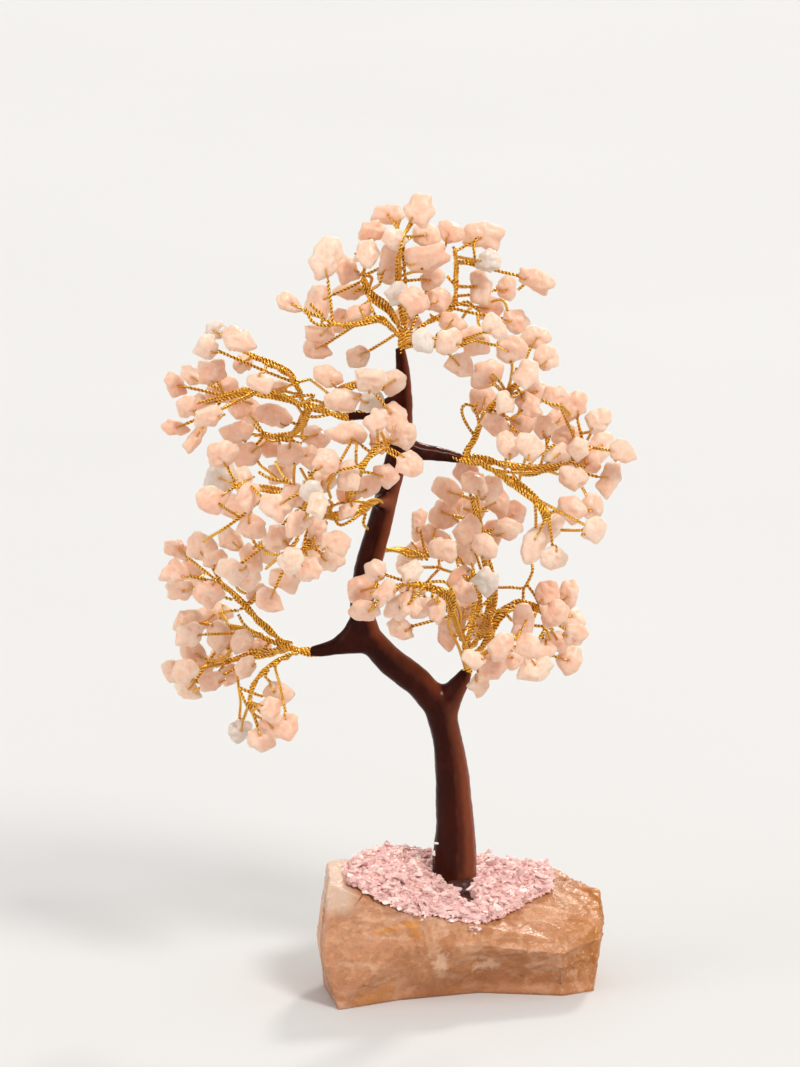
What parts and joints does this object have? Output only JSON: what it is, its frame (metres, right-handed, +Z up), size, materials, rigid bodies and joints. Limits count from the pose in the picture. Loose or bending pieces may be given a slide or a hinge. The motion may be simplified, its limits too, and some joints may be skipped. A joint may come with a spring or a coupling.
{
  "type": "gemstone tree ornament",
  "caption": "Gemstone tree: twisted brass-wire sprays of tumbled rose-quartz chips on a brown resin trunk, set in a rough rose-quartz base.",
  "frame": {"origin": "on the stone's flat underside, under the middle of the stone's length", "axes": "+Z up along the tree, +X to the right along the stone's length, -Y towards the viewer"},
  "size_m": [0.1572, 0.121, 0.2688],
  "materials": {
    "rough_rose_quartz": "rough broken quartz",
    "set_glue": "clear set glue",
    "crushed_quartz": "crushed, glittering",
    "brown_resin": "glossy",
    "brass_wire": "bright, twisted",
    "rose_quartz_chip": "tumbled, waxy gloss"
  },
  "bodies": {
    "root": {"base_stone": "rough_rose_quartz", "centre_chips": "rose_quartz_chip", "centre_twigs": "brass_wire", "glue_bed": "set_glue", "gravel": "crushed_quartz", "lower_left_drop_chips": "rose_quartz_chip", "lower_left_drop_twigs": "brass_wire", "lower_left_high_chips": "rose_quartz_chip", "lower_left_high_twigs": "brass_wire", "lower_left_outer_chips": "rose_quartz_chip", "lower_left_outer_twigs": "brass_wire", "lower_right_left_chips": "rose_quartz_chip", "lower_right_left_twigs": "brass_wire", "lower_right_low_chips": "rose_quartz_chip", "lower_right_low_twigs": "brass_wire", "lower_right_middle_chips": "rose_quartz_chip", "lower_right_middle_twigs": "brass_wire", "lower_right_outer_chips": "rose_quartz_chip", "lower_right_outer_twigs": "brass_wire", "middle_left_front_chips": "rose_quartz_chip", "middle_left_front_twigs": "brass_wire", "middle_left_high_chips": "rose_quartz_chip", "middle_left_high_twigs": "brass_wire", "middle_left_outer_chips": "rose_quartz_chip", "middle_left_outer_twigs": "brass_wire", "middle_right_chips": "rose_quartz_chip", "middle_right_twigs": "brass_wire", "right_lower_chips": "rose_quartz_chip", "right_lower_twigs": "brass_wire", "right_outer_chips": "rose_quartz_chip", "right_outer_twigs": "brass_wire", "right_upper_chips": "rose_quartz_chip", "right_upper_twigs": "brass_wire", "top_crown_chips": "rose_quartz_chip", "top_crown_twigs": "brass_wire", "top_front_chips": "rose_quartz_chip", "top_front_twigs": "brass_wire", "top_left_chips": "rose_quartz_chip", "top_left_twigs": "brass_wire", "top_right_chips": "rose_quartz_chip", "top_right_twigs": "brass_wire", "trunk_coat": "brown_resin", "trunk_core": "brass_wire", "upper_left_back_chips": "rose_quartz_chip", "upper_left_back_twigs": "brass_wire", "upper_left_high_chips": "rose_quartz_chip", "upper_left_high_twigs": "brass_wire", "upper_left_inner_chips": "rose_quartz_chip", "upper_left_inner_twigs": "brass_wire", "upper_left_outer_chips": "rose_quartz_chip", "upper_left_outer_twigs": "brass_wire", "wire_bundle_lower_left": "brass_wire", "wire_bundle_lower_right": "brass_wire", "wire_bundle_middle_left": "brass_wire", "wire_bundle_middle_right": "brass_wire", "wire_bundle_right": "brass_wire", "wire_bundle_top": "brass_wire", "wire_bundle_upper_left": "brass_wire"}
  },
  "joints": []
}
